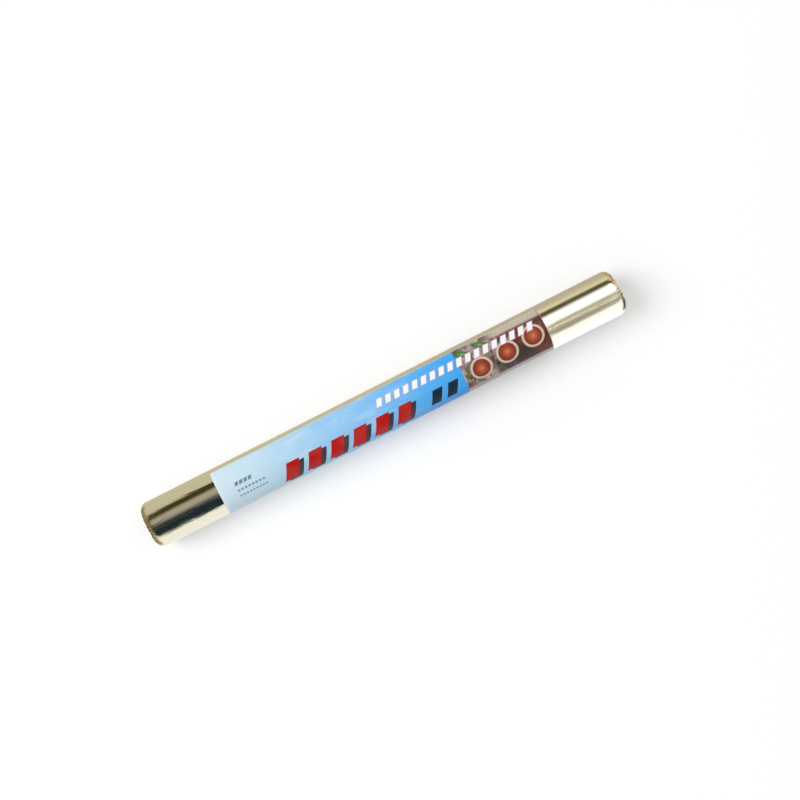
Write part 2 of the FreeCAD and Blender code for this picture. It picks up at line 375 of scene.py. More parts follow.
def field_colour(tree, settings, print_place, along, across):
    """The label's blue field: pale at the left end, deeper towards the panel, with soft cloudy streaks and
    painted shade that darkens its lower side towards the panel.
    """
    ramp_length = 1.72
    deep = (*settings.deep, 1)
    between = screen_stops(
        (0.16, 192, 222, 240), (0.32, 162, 208, 240), (0.52, 134, 194, 244), (0.68, 92, 180, 246)
    )
    stops = [(0.0, (*settings.pale, 1)), *between, (0.86, deep), (1.0, deep)]
    field = colour_ramp(tree, maths(tree, "DIVIDE", along, ramp_length), stops)
    cloudy = ease(tree, along, 0.75, 1.35, 1.0, 0.12)
    clouds = stretched_noise(tree, print_place, (5, 16, 1), 3.0, 0.35)
    clouds = times(tree, cloudy, ease(tree, clouds, 0.44, 0.74, 0.0, 0.42))
    field = blend_colour(tree, clouds, field, screen_colour(206, 232, 250))
    streaks = stretched_noise(tree, print_place, (9, 60, 1), 2.0, 0.2)
    streaks = times(tree, cloudy, ease(tree, streaks, 0.52, 0.8, 0.0, 0.2))
    field = blend_colour(tree, streaks, field, screen_colour(235, 246, 252))
    # Painted shade: the field turns deep blue along the label's lower side, away from the light, towards the
    # panel end.
    low = times(tree, ease(tree, across, 0.22, 0.34), ease(tree, along, 0.9, 1.45, 0.0, 0.75))
    return blend_colour(tree, low, field, screen_colour(14, 80, 150))


def mosaic_colour(tree, print_place, along, across):
    """A mosaic of small warped cells in herb and spice colours, paler above and darker below its middle."""
    warp = add_node(tree, "ShaderNodeTexNoise", None, {"Vector": print_place, "Scale": 22.0, "Detail": 3.0})
    moved = add_node(
        tree, "ShaderNodeVectorMath", {"operation": "MULTIPLY_ADD"},
        {0: warp.outputs["Color"], 1: (0.05, 0.05, 0.0), 2: print_place},
    ).outputs[0]
    cells = add_node(tree, "ShaderNodeTexVoronoi", None, {"Vector": moved, "Scale": 34.0})
    pick = add_node(tree, "ShaderNodeSeparateXYZ", None, {0: cells.outputs["Color"]}).outputs[0]
    pick = plus(tree, times(tree, pick, 0.5), ease(tree, along, 1.50, 1.90, 0.0, 0.5))
    mosaic = colour_ramp(tree, pick, screen_stops(
        (0.0, 104, 146, 78), (0.10, 138, 122, 84), (0.22, 228, 204, 186), (0.36, 168, 156, 164),
        (0.46, 142, 84, 62), (0.60, 66, 54, 44), (0.78, 150, 66, 40), (1.0, 112, 42, 26),
    ))
    shade = ease(tree, cells.outputs["Distance"], 0.0, 0.6, 0.0, 0.45)
    mosaic = blend_colour(tree, shade, mosaic, screen_colour(44, 36, 30))
    above = times(tree, ease(tree, across, 0.035, 0.06, 1.0, 0.0), ease(tree, along, 1.60, 1.72))
    mosaic = blend_colour(tree, above, mosaic, screen_colour(196, 182, 168))
    below = times(tree, ease(tree, along, 1.60, 1.66), ease(tree, along, 1.84, 1.92, 1.0, 0.0))
    below = times(tree, below, ease(tree, across, 0.14, 0.18, 0.0, 0.85))
    return blend_colour(tree, below, mosaic, screen_colour(56, 46, 34))


def panel_colour(tree, print_place, along, across, leaves, blocks):
    """The panel's generic design: a mosaic, a row of discs, leaves and a pale band."""
    mosaic = mosaic_colour(tree, print_place, along, across)
    disc_row = (1.476, 0.172, 0.163, 0.016, 0.066, 0.066, 0.0)
    disc = print_row(tree, leaves, along, across, OVAL_ROW, disc_row)
    disc_colour = colour_ramp(tree, disc["Distance"], screen_stops(
        (0.0, 206, 128, 92), (0.35, 166, 76, 46), (0.74, 124, 40, 22),
        (0.80, 222, 206, 192), (0.97, 186, 170, 160), (1.0, 70, 50, 40),
    ))
    panel = blend_colour(tree, disc["Mask"], mosaic, disc_colour)
    leaf_row = (1.44, 0.052, 0.11, 0.004, 0.05, 0.019, 0.5)
    leaf = print_row(tree, leaves, along, across, OVAL_ROW, leaf_row)
    leaf_colour = colour_ramp(tree, leaf["Distance"], screen_stops(
        (0.0, 170, 190, 130), (0.25, 98, 142, 78), (1.0, 50, 84, 42),
    ))
    leafy = times(tree, leaf["Mask"], ease(tree, along, 1.655, 1.665, 1.0, 0.0))
    panel = blend_colour(tree, leafy, panel, leaf_colour)
    band_row = (1.40, 2.1, 0.264, 0.34, 1.0, 1.0, 0.0)
    band = print_row(tree, blocks, along, across, BLOCK_ROW, band_row)["Mask"]
    return blend_colour(tree, band, panel, screen_colour(176, 158, 156))


def print_on_field(tree, settings, field, along, across, blocks):
    """Adds the plain printed motifs to the label: bold red blocks, white dashes, dark blocks, thin rules."""
    red = (0.453, 1.235, 0.153, 0.268, 0.1345, 0.58, PRINT_SLANT)
    shadow_along, shadow_across = minus(tree, along, 0.024), minus(tree, across, 0.013)
    shadow = print_row(tree, blocks, shadow_along, shadow_across, BLOCK_ROW, red)["Mask"]
    field = blend_colour(tree, times(tree, shadow, 0.95), field, (*settings.shadow, 1))
    layers = (
        (red, (*settings.ribbon, 1), 1.0),
        ((1.33, 1.515, 0.160, 0.248, 0.095, 0.64, PRINT_SLANT), (*settings.ink, 1), 0.97),
        ((0.15, 0.255, 0.118, 0.140, 0.026, 0.8, PRINT_SLANT), screen_colour(84, 104, 124), 0.8),
        ((0.095, 0.262, 0.162, 0.175, 0.021, 0.72, 0.0), screen_colour(96, 120, 144), 0.75),
        ((0.095, 0.262, 0.196, 0.208, 0.019, 0.72, 0.0), screen_colour(96, 120, 144), 0.7),
        ((0.996, 1.955, 0.057, 0.113, 0.0535, 0.76, PRINT_SLANT), screen_colour(190, 140, 166), 0.6),
        ((1.00, 1.955, 0.062, 0.108, 0.0535, 0.6, PRINT_SLANT), screen_colour(250, 250, 252), 0.95),
    )
    for values, colour, strength in layers:
        mask = print_row(tree, blocks, along, across, BLOCK_ROW, values)["Mask"]
        field = blend_colour(tree, times(tree, mask, strength), field, colour)
    return field


def label_material(settings, wear, blocks, leaves):
    """Coated printing paper with the label's print, a pale worn edge, soft gloss and faint creases."""
    material, tree, shader = new_material("label_paper")
    print_place = add_node(tree, "ShaderNodeUVMap", {"uv_map": "print"}).outputs[0]
    parts = add_node(tree, "ShaderNodeSeparateXYZ", None, {0: print_place}).outputs
    along, across = parts[0], parts[1]
    place = add_node(tree, "ShaderNodeTexCoord").outputs["Object"]
    marks = use_group(tree, wear, {"Vector": place, "Grain": 1500.0})
    field = field_colour(tree, settings, print_place, along, across)
    panel = panel_colour(tree, print_place, along, across, leaves, blocks)
    soft_edge = 0.003
    panel_share = ease(tree, along, PANEL_START - soft_edge, PANEL_START + soft_edge)
    whole = blend_colour(tree, panel_share, field, panel)
    whole = print_on_field(tree, settings, whole, along, across, blocks)
    length = (LABEL_HIGH.x - LABEL_LOW.x) / PRINT_UNIT
    width = math.radians(LABEL_WRAP) * LABEL_RADIUS / PRINT_UNIT
    depths = (along, minus(tree, length, along), across, minus(tree, width, across))
    inside = times(tree, *[ease(tree, depth, 0.0008, 0.005) for depth in depths])
    smudge = marks["Smudge"]
    whole = blend_colour(tree, minus(tree, 1.0, inside), whole, screen_colour(228, 230, 226))
    whole = blend_colour(tree, times(tree, smudge, 0.03), whole, screen_colour(222, 226, 228))
    fibres = stretched_noise(tree, place, (2200, 2600, 2600), 2.0)
    creases = stretched_noise(tree, place, (30, 500, 500), 2.0)
    normal = bump(tree, fibres, 0.006 * MM, 0.5)
    normal = bump(tree, creases, 0.03 * MM, 0.35, normal)
    normal = bump(tree, marks["Hairlines"], 0.003 * MM, 0.5, normal)
    feed(tree, shader, {
        "Base Color": whole, "Roughness": plus(tree, 0.36, times(tree, smudge, 0.14)),
        "Specular IOR Level": 0.18, "Normal": normal,
    })
    return material


def core_material(settings, wear):
    """Spiral-wound grey-brown board: fibres, flecks, smudges and the dark line of the spiral seam."""
    material, tree, shader = new_material("core_board")
    place, parts = object_place(tree)
    turn = maths(tree, "DIVIDE", turn_about_axis(tree, parts), FULL_TURN)
    travel = minus(tree, maths(tree, "DIVIDE", parts[0], settings.seam_pitch), turn)
    phase = maths(tree, "ABSOLUTE", minus(tree, maths(tree, "FRACT", travel), 0.5))
    seam = ease(tree, phase, 0.0, 0.012, 1.0, 0.0)
    smudge = use_group(tree, wear, {"Vector": place, "Grain": 1200.0})["Smudge"]
    fibres = stretched_noise(tree, place, (1400, 1800, 1800), 4.0)
    flecks = stretched_noise(tree, place, (500, 600, 600), 2.0)
    board = (*settings.board, 1)
    colour = blend_colour(tree, ease(tree, fibres, 0.3, 0.7), board, screen_colour(182, 150, 110))
    fleck_share = ease(tree, flecks, 0.6, 0.72, 0.0, 0.5)
    colour = blend_colour(tree, fleck_share, colour, screen_colour(104, 82, 58))
    colour = blend_colour(tree, times(tree, seam, 0.7), colour, screen_colour(80, 62, 44))
    colour = blend_colour(tree, times(tree, smudge, 0.2), colour, screen_colour(120, 98, 72))
    normal = bump(tree, fibres, 0.03 * MM, 0.7, bump(tree, seam, -0.1 * MM, 0.8))
    rough = plus(tree, 0.75, times(tree, fibres, 0.2))
    feed(tree, shader, {"Base Color": colour, "Roughness": rough, "Normal": normal})
    return material


def link_mesh(name, mesh_edit, material):
    """Turns a bmesh into an object of the scene with one material."""
    mesh = bpy.data.meshes.new(name)
    mesh_edit.to_mesh(mesh)
    mesh_edit.free()
    mesh.materials.append(material)
    thing = bpy.data.objects.new(name, mesh)
    bpy.context.scene.collection.objects.link(thing)
    return thing


def finish_piece(name, mesh_edit, material, node):
    """Turns a bmesh into a smooth piece that rides on the part and stands for one CAD node."""
    piece = link_mesh(name, mesh_edit, material)
    piece.data.shade_smooth()
    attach(piece, "root")
    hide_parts(node)


def spin_section(mesh_edit, corners, steps):
    """Turns a closed section, given by places along the roll and radii, about the roll's axis."""
    verts = [mesh_edit.verts.new((across, 0, AXIS_HEIGHT + radius)) for across, radius in corners]
    edges = [mesh_edit.edges.new(pair) for pair in zip(verts, verts[1:] + verts[:1])]
    bmesh.ops.spin(
        mesh_edit, geom=verts + edges, cent=(0, 0, AXIS_HEIGHT), axis=(1, 0, 0),
        angle=FULL_TURN, steps=steps, use_merge=True,
    )
    bmesh.ops.recalc_face_normals(mesh_edit, faces=mesh_edit.faces[:])


def radius_of(place):
    """Distance of a point from the roll's axis."""
    return math.hypot(place.y, place.z - AXIS_HEIGHT)


def angle_of(place):
    """A point's angle about the roll's axis, from straight up towards +Y, in radians."""
    return math.atan2(place.y, place.z - AXIS_HEIGHT)


def outward_at(angle):
    """The direction away from the roll's axis at an angle."""
    return Vector((0, math.sin(angle), math.cos(angle)))


def ring_edges(mesh_edit, across, radius):
    """The edges of both rings at a place along the roll and a radius."""
    near = 0.02 * MM

    def on_ring(vert, side):
        return abs(side * vert.co.x - across) < near and abs(radius_of(vert.co) - radius) < near
    return [
        edge for edge in mesh_edit.edges for side in (-1, 1)
        if on_ring(edge.verts[0], side) and on_ring(edge.verts[1], side)
    ]


def round_ring(mesh_edit, across, radius, offset, segments):
    """Rounds both rings at a place along the roll and a radius."""
    bmesh.ops.bevel(
        mesh_edit, geom=ring_edges(mesh_edit, across, radius), offset=offset, offset_type="OFFSET",
        segments=segments, profile=0.5, affect="EDGES", material=-1,
    )


def cut_section_edges(mesh_edit, spacing, longest_cut):
    """Cuts the section's edges to lengths near spacing, or longest_cut on the side, but not in the bore."""
    same_place = 1e-7
    lengths = {}
    for edge in mesh_edit.edges:
        first, last = edge.verts[0].co, edge.verts[1].co
        apart = math.hypot(first.y - last.y, first.z - last.z)
        in_section = apart <= abs(radius_of(first) - radius_of(last)) + same_place
        length = (first - last).length
        hidden = length > HALF_LENGTH and radius_of(first) < CORE_RADIUS + MM
        if in_section and not hidden and length > 1.5 * spacing:
            step = longest_cut if length > HALF_LENGTH else spacing
            lengths.setdefault(round(length / step), []).append(edge)
    for pieces, edges in lengths.items():
        if pieces > 1:
            bmesh.ops.subdivide_edges(mesh_edit, edges=edges, cuts=pieces - 1, use_grid_fill=True)


class Fold:
    """One gather: where it starts on the rim, how it leans, how wide and how deep it is."""

    def __init__(self, chance, place, share):
        self.angle = place + chance.uniform(-0.3, 0.3) * share
        self.lean = chance.uniform(0.1, 0.6) * share
        self.width = chance.uniform(0.42, 0.7) * share
        self.depth = chance.uniform(0.55, 1.0)
        self.start = chance.uniform(-0.35, 0.15)

    def dip(self, angle, along):
        """The fold's depth, 0 to 1, at an angle and a share of the slope."""
        apart = abs((angle - self.angle - self.lean * along + math.pi) % FULL_TURN - math.pi)
        open_share = smooth_step(self.start, 1.0, along)
        width = self.width * (0.35 + 0.65 * open_share)
        return self.depth * open_share * max(0.0, 1 - apart / width) ** 1.2


def make_folds(seed, count):
    """The gathers of one end, unevenly spaced."""
    chance = random.Random(seed)
    share = FULL_TURN / count
    return [Fold(chance, index * share, share) for index in range(count)]


def gather_ends(mesh_edit, settings):
    """Presses the gathers into both ends: along the slope, over the lip and a little way into the throat."""
    slope_start = HALF_LENGTH - settings.slope_length
    foot = THROAT_RADIUS + settings.lip_face
    before_slope = 1.2 * MM
    skin = 0.3 * MM
    crumple_size = 1.1 * MM
    crumple_depth = 0.06 * MM
    seeds = {1: 11, -1: 23}
    folds = {side: make_folds(seed, settings.gather_count) for side, seed in seeds.items()}
    for vert in mesh_edit.verts:
        across = abs(vert.co.x)
        if across < slope_start - before_slope:
            continue
        side = 1 if vert.co.x > 0 else -1
        angle = angle_of(vert.co)
        along = (across - slope_start) / settings.slope_length
        slope_radius = ROLL_RADIUS - max(along, 0) * (ROLL_RADIUS - foot)
        outward = outward_at(angle)
        axial = Vector((side, 0, 0))
        if radius_of(vert.co) > slope_radius - skin:
            dip = max(fold.dip(angle, along) for fold in folds[side])
            share = smooth_step(0.2, 1.0, along)
            crumple = noise.noise(vert.co / crumple_size) * crumple_depth * smooth_step(-0.1, 0.4, along)
            direction = axial * (0.35 + 0.45 * share) + outward * (0.9 * (1 - share))
            swell = settings.slope_bulge * math.sin(math.pi * min(max(along, 0), 1))
            vert.co += (axial * 0.75 + outward * 0.66) * swell
            vert.co -= direction * (settings.gather_depth * dip + abs(crumple))
        else:
            dip = max(fold.dip(angle, 1.0) for fold in folds[side])
            near_mouth = smooth_step(CORE_END, HALF_LENGTH, across)
            vert.co -= axial * (settings.gather_depth * dip * near_mouth)
            vert.co += outward * (0.25 * settings.gather_depth * dip * near_mouth)


def wind_unevenly(mesh_edit, settings):
    """Lets the turns swell and dip, and steps the outer turn down at the foil's free edge."""
    edge_angle = math.radians(-13)
    edge_width = math.radians(1.1)
    run_out = math.radians(26)
    skin = 0.8 * MM
    end_margin = 2.6 * MM
    swell_length = 55 * MM
    swells_round = 1.6
    for vert in mesh_edit.verts:
        if radius_of(vert.co) < ROLL_RADIUS - skin or abs(vert.co.x) > HALF_LENGTH - end_margin:
            continue
        angle = angle_of(vert.co)
        outward = outward_at(angle)
        place = Vector((vert.co.x / swell_length, swells_round * outward.y, swells_round * outward.z))
        swell = (noise.noise(place) - 0.35) * settings.waviness
        past = angle - edge_angle
        step = smooth_step(0, edge_width, past) * (1 - smooth_step(edge_width, run_out, past))
        vert.co += outward * (min(swell, 0) - settings.edge_step * step)


def flatten(mesh_edit, level):
    """Brings what hangs below a level up to it: the small flat spot that the roll lies on."""
    for vert in mesh_edit.verts:
        vert.co.z = max(vert.co.z, level)


def build_foil(settings):
    """The wound foil with its pressed-in, gathered ends."""
    slope_start = HALF_LENGTH - settings.slope_length
    foot = THROAT_RADIUS + settings.lip_face
    rim_segments, mouth_segments = 6, 2
    end_facet, side_facet = 0.34 * MM, 3.5 * MM
    right_side = [
        (CORE_END, CORE_RADIUS + settings.core_play),
        (HALF_LENGTH - settings.lip_length, THROAT_RADIUS),
        (HALF_LENGTH, THROAT_RADIUS),
        (HALF_LENGTH, foot),
        (slope_start, ROLL_RADIUS),
    ]
    left_side = [(-across, radius) for across, radius in reversed(right_side)]
    mesh_edit = bmesh.new()
    spin_section(mesh_edit, right_side + left_side, settings.steps)
    turn = math.atan2(ROLL_RADIUS - foot, settings.slope_length)
    round_ring(mesh_edit, slope_start, ROLL_RADIUS, settings.rim_round * math.tan(turn / 2), rim_segments)
    round_ring(mesh_edit, HALF_LENGTH, THROAT_RADIUS, settings.lip_bevel, mouth_segments)
    cut_section_edges(mesh_edit, end_facet, side_facet)
    wind_unevenly(mesh_edit, settings)
    gather_ends(mesh_edit, settings)
    flatten(mesh_edit, FOIL_LOW.z)
    bmesh.ops.recalc_face_normals(mesh_edit, faces=mesh_edit.faces[:])
    material = foil_material(settings.tint, bpy.data.node_groups["fine_wear"], slope_start)
    finish_piece("foil_turns", mesh_edit, material, "foil_roll")


def label_angle(place):
    """How far a point is round the label from its upper long edge, in radians."""
    return (math.radians(LABEL_START_ANGLE) - angle_of(place) + math.pi / 4) % FULL_TURN - math.pi / 4


def lift_paper(mesh_edit, settings):
    """Lifts the sheet's long edges off the foil, lets the paper swell a little and wanders its cut ends."""
    wrap = math.radians(LABEL_WRAP)
    reach = math.radians(7)
    ripple_length = 26 * MM
    swell_length = 34 * MM
    cut_band = 0.05 * MM
    cut_wander = 0.16 * MM
    for vert in mesh_edit.verts:
        round_place = label_angle(vert.co)
        outward = Vector((0, vert.co.y, vert.co.z - AXIS_HEIGHT)).normalized()
        from_edge = min(round_place, wrap - round_place)
        edge_place = Vector((vert.co.x / ripple_length, 3 * round(round_place / wrap), 0))
        ripple = 0.6 + 0.6 * noise.noise(edge_place)
        lift = settings.edge_lift * ripple * (1 - smooth_step(0, reach, from_edge))
        place = Vector((vert.co.x / swell_length, 2.2 * outward.y, 2.2 * outward.z))
        swell = -abs(noise.noise(place)) * settings.buckle * smooth_step(0, reach, from_edge)
        vert.co += outward * (lift + swell)
        end = min(vert.co.x - LABEL_LOW.x, LABEL_HIGH.x - vert.co.x)
        if end < cut_band:
            inward = 1 if vert.co.x < 0 else -1
            wander = 0.5 + 0.5 * noise.noise(Vector((5 * inward, 2.5 * round_place, 0)))
            vert.co.x += inward * cut_wander * wander


def write_print_map(mesh_edit):
    """Lays the sheet's own UV map: print units along and round the label from its upper left corner."""
    layer = mesh_edit.loops.layers.uv.new("print")
    for face in mesh_edit.faces:
        for loop in face.loops:
            place = loop.vert.co
            loop[layer].uv = (
                (place.x - LABEL_LOW.x) / PRINT_UNIT,
                label_angle(place) * LABEL_RADIUS / PRINT_UNIT,
            )


def build_label(settings):
    """The printed sheet laid round the roll, open along one side."""
    lengthwise_cuts = 119
    start = math.radians(LABEL_START_ANGLE)
    inner = LABEL_RADIUS - settings.thickness
    mesh_edit = bmesh.new()
    ends = [
        mesh_edit.verts.new((across, inner * math.sin(start), AXIS_HEIGHT + inner * math.cos(start)))
        for across in (LABEL_LOW.x, LABEL_HIGH.x)
    ]
    edge = mesh_edit.edges.new(ends)
    bmesh.ops.subdivide_edges(mesh_edit, edges=[edge], cuts=lengthwise_cuts)
    bmesh.ops.spin(
        mesh_edit, geom=mesh_edit.verts[:] + mesh_edit.edges[:], cent=(0, 0, AXIS_HEIGHT), axis=(1, 0, 0),
        angle=math.radians(LABEL_WRAP), steps=settings.steps, use_merge=False,
    )
    bmesh.ops.recalc_face_normals(mesh_edit, faces=mesh_edit.faces[:])
    mesh_edit.faces.ensure_lookup_table()
    probe = mesh_edit.faces[0]
    middle = probe.calc_center_median()
    if probe.normal.dot(Vector((0, middle.y, middle.z - AXIS_HEIGHT))) < 0:
        bmesh.ops.reverse_faces(mesh_edit, faces=mesh_edit.faces[:])
    lift_paper(mesh_edit, settings)
    flatten(mesh_edit, LABEL_LOW.z + settings.thickness)
    bmesh.ops.solidify(mesh_edit, geom=mesh_edit.faces[:], thickness=-settings.thickness)
    bmesh.ops.recalc_face_normals(mesh_edit, faces=mesh_edit.faces[:])
    flatten(mesh_edit, LABEL_LOW.z)
    write_print_map(mesh_edit)
    groups = bpy.data.node_groups
    material = label_material(settings, groups["fine_wear"], groups["block_row"], groups["leaf_row"])
    finish_piece("printed_label", mesh_edit, material, "label")


def build_core(settings):
    """The cardboard tube that the foil is wound on."""
    steps_round = 128
    cut_bevel = 0.12 * MM
    inner = CORE_RADIUS - settings.wall
    corners = [(CORE_END, inner), (CORE_END, CORE_RADIUS), (-CORE_END, CORE_RADIUS), (-CORE_END, inner)]
    mesh_edit = bmesh.new()
    spin_section(mesh_edit, corners, steps_round)
    for radius in (inner, CORE_RADIUS):
        round_ring(mesh_edit, CORE_END, radius, cut_bevel, 2)
    material = core_material(settings, bpy.data.node_groups["fine_wear"])
    finish_piece("board_tube", mesh_edit, material, "core_tube")


CAMERA_PLACE = Vector((-0.042, 0.0, 0.8578))
CAMERA_AIM = Vector((0.00887, 0.00011, 0.013))
CAMERA_TURN = math.radians(26.92)
CAMERA_LENS = 70
KEY_PLACE = Vector((-2.08, 1.00, 2.22))
KEY_AIM = Vector((0.02, 0, 0.01))
KEY_SIZE = 2.2
FLOOR_HALF = 6

# Within the first distance of the origin the floor is lit as paper is, and past the second it is plain white
FLOOR_PAPER_END = 0.4
FLOOR_WHITE_START = 0.9

# The cards curve about the roll up to the horizon's angle, in degrees, and lie one behind another, as do
# their parts just above the floor, which start beside the roll
CARD_SPACING = 4 * MM
CARD_FLOOR_HEIGHT = 1.9 * MM
CARD_FLOOR_SPACING = 0.05 * MM
CARD_FLOOR_START = ROLL_RADIUS + 2 * MM
CARD_HORIZON = 92
CARD_REACH = 1.3
CARD_MIDDLE_FADE = 0.05

# Each card, nearest first: name, side of the roll (0 for both), the angle from straight up towards +Y where
# it starts and over how many degrees it fades in there, the same for its end, colour, strength
Card = namedtuple("Card", "name side start fade_in end fade_out colour strength")
CARDS = (
    Card("slit_right", 1, -24.5, 1, -20.5, 1, (250, 244, 220), 1.7),
    Card("olive_left", -1, 18, 18, 62.5, 12, (64, 56, 22), 1.0),
    Card("navy_left", -1, -76, 22, 8, 28, (32, 45, 48), 1.0),
    Card("beige_left", -1, -45, 4, 48, 6, (172, 166, 146), 1.0),
    Card("cream_left", -1, -180, 1, -35, 4, (252, 251, 240), 1.0),
    Card("gold_left", -1, 40, 4, 180, 1, (204, 198, 168), 1.0),
    Card("olive_right", 1, 33, 20, 74, 9, (92, 84, 54), 1.0),
    Card("straw_right", 1, 60, 4, 103, 22, (224, 216, 180), 1.0),
    Card("gold_right", 1, 60, 4, 180, 1, (194, 184, 162), 1.0),
    Card("white_right", 1, -9, 12, 64, 4, (255, 255, 255), 1.3),
    Card("beige_right_upper", 1, -38, 10, 6, 4, (188, 184, 164), 1.0),
    Card("beige_right_lower", 1, -64, 16, -20, 4, (166, 162, 146), 1.0),
    Card("cool_right_low", 1, -180, 1, -72, 28, (240, 247, 255), 1.35),
    Card("white_right_low", 1, -180, 1, -40, 4, (255, 255, 250), 1.15),
    Card("gold_strip", 0, 60, 4, 180, 1, (204, 196, 174), 1.0),
)

# Each flat sheet past the roll's tips: name, its two ends along X and along Y, colour. It lies just above
# the floor, or stands as a wall where both ends along X are the same
SHEET_HEIGHT = 2 * MM
WALL_HEIGHT = 0.45
SHEETS = (
    ("green_left_near", (-0.152, -0.1455), (-0.0165, -0.008), (158, 158, 116)),
    ("brown_left_near", (-0.152, -0.1455), (-0.008, 0.009), (142, 124, 88)),
    ("gold_left_near", (-0.152, -0.1455), (0.009, 0.0165), (176, 168, 128)),
    ("green_left_far", (-0.45, -0.152), (-0.06, -0.008), (150, 150, 108)),
    ("brown_left_far", (-0.45, -0.152), (-0.008, 0.009), (132, 112, 76)),
    ("gold_left_far", (-0.45, -0.152), (0.009, 0.06), (160, 146, 104)),
    ("brown_left_wall", (-0.90, -0.90), (-0.60, 0.60), (92, 80, 46)),
    ("gold_right_near", (0.1455, 0.152), (0.0095, 0.0165), (200, 176, 134)),
    ("gold_right_far", (0.152, 0.45), (0.0115, 0.06), (196, 168, 122)),
    ("olive_right_near", (0.1455, 0.152), (-0.0135, -0.004), (104, 102, 66)),
    ("olive_right_far", (0.152, 0.45), (-0.06, -0.004), (100, 98, 62)),
    ("rose_right_wall", (1.0, 1.0), (-0.50, 0.03), (206, 160, 144)),
)


def seen_directly(tree):
    """1 where the ray comes from the camera, a mirror or a clear surface and hasn't met a matt one yet."""
    path = add_node(tree, "ShaderNodeLightPath").outputs
    seen = maths(tree, "MAXIMUM", path["Is Camera Ray"], path["Is Glossy Ray"])
    seen = maths(tree, "MAXIMUM", seen, path["Is Transmission Ray"])
    return times(tree, seen, maths(tree, "LESS_THAN", path["Diffuse Depth"], 0.5))


def new_glow(name, colour, strength):
    """A material that only gives off light: the material, its tree, its light and the output's surface."""
    material, tree, shader = new_material(name)
    tree.nodes.remove(shader)
    inputs = {"Color": screen_colour(*colour), "Strength": strength}
    light = add_node(tree, "ShaderNodeEmission", None, inputs)
    return material, tree, light.outputs[0], tree.nodes["Material Output"].inputs["Surface"]


def card_material(card):
    """Even light on a card, fading out at the card's ends and past the middle of the roll."""
    material, tree, light, surface = new_glow(card.name, card.colour, card.strength)
    parts = object_place(tree)[1]
    angle = times(tree, turn_about_axis(tree, parts), math.degrees(1))
    mask = times(
        tree, ease(tree, angle, card.start, card.start + card.fade_in),
        ease(tree, angle, card.end - card.fade_out, card.end, 1, 0), seen_directly(tree),
    )
    if card.side:
        mask = times(tree, mask, ease(tree, maths(tree, "ABSOLUTE", parts[0]), 0.0, CARD_MIDDLE_FADE))
    clear = add_node(tree, "ShaderNodeBsdfTransparent").outputs[0]
    mixed = add_node(tree, "ShaderNodeMixShader", None, {0: mask, 1: clear, 2: light}).outputs[0]
    tree.links.new(mixed, surface)
    return material


def place_reflected(name, mesh_edit, material):
    """Puts a mesh on the stage that is seen only in what the shiny surfaces mirror."""
    thing = link_mesh(name, mesh_edit, material)
    for ray in ("camera", "diffuse", "transmission", "volume_scatter", "shadow"):
        setattr(thing, "visible_" + ray, False)


def build_card(card, radius, floor_height):
    """One curved card beside the roll, carried on just above the floor where it reaches the horizon."""
    steps_round = 24
    far = card.side * CARD_REACH if card.side else CARD_REACH
    near_end = 0 if card.side else -CARD_REACH
    first = math.radians(max(card.start, -CARD_HORIZON))
    last = math.radians(min(card.end, CARD_HORIZON))
    mesh_edit = bmesh.new()
    ends = [
        mesh_edit.verts.new((across, radius * math.sin(first), AXIS_HEIGHT + radius * math.cos(first)))
        for across in (near_end, far)
    ]
    edge = mesh_edit.edges.new(ends)
    bmesh.ops.spin(
        mesh_edit, geom=ends + [edge], cent=(0, 0, AXIS_HEIGHT), axis=(1, 0, 0),
        angle=first - last, steps=steps_round, use_merge=False,
    )
    if max(abs(card.start), abs(card.end)) > CARD_HORIZON:
        toward = 1 if card.end > CARD_HORIZON else -1
        near, outer = toward * CARD_FLOOR_START, toward * radius
        corners = [(near_end, near), (far, near), (far, outer), (near_end, outer)]
        mesh_edit.faces.new([mesh_edit.verts.new((*corner, floor_height)) for corner in corners])
    place_reflected(card.name, mesh_edit, card_material(card))


def build_sheet(sheet):
    """One flat sheet past a tip of the roll, lying above the floor or standing across the roll's line."""
    name, (left, right), (front, back), colour = sheet
    if left == right:
        corners = [(left, front, 0), (left, back, 0), (left, back, WALL_HEIGHT), (left, front, WALL_HEIGHT)]
    else:
        places = [(left, front), (right, front), (right, back), (left, back)]
        corners = [(*place, SHEET_HEIGHT) for place in places]
    mesh_edit = bmesh.new()
    mesh_edit.faces.new([mesh_edit.verts.new(corner) for corner in corners])
    material, tree, light, surface = new_glow(name, colour, 1.0)
    tree.links.new(light, surface)
    place_reflected(name, mesh_edit, material)


def floor_material(lift):
    """White paper that keeps the roll's shadow and turns plain white for the camera away from the roll."""
    material, tree, shader = new_material("studio_floor")
    place = add_node(tree, "ShaderNodeTexCoord").outputs["Object"]
    distance = add_node(tree, "ShaderNodeVectorMath", {"operation": "LENGTH"}, {0: place}).outputs["Value"]
    white = ease(tree, distance, FLOOR_PAPER_END, FLOOR_WHITE_START, lift, 1.0)
    feed(tree, shader, {
        "Base Color": (0.80, 0.80, 0.80, 1), "Roughness": 0.9, "Specular IOR Level": 0.0,
        "Emission Color": (1, 1, 1, 1), "Emission Strength": times(tree, seen_directly(tree), white),
    })
    return material


def build_floor(settings):
    """The pale floor."""
    mesh_edit = bmesh.new()
    bmesh.ops.create_grid(mesh_edit, x_segments=1, y_segments=1, size=FLOOR_HALF)
    link_mesh("studio_floor", mesh_edit, floor_material(settings.floor_lift))


def build_world(settings):
    """An even white surround that fills the shadows."""
    world = bpy.data.worlds.new("studio_surround")
    world.use_nodes = True
    bpy.context.scene.world = world
    tree = world.node_tree
    extra = times(tree, seen_directly(tree), 1 - settings.fill)
    feed(tree, tree.nodes["Background"], {
        "Color": (1, 1, 1, 1), "Strength": plus(tree, extra, settings.fill),
    })


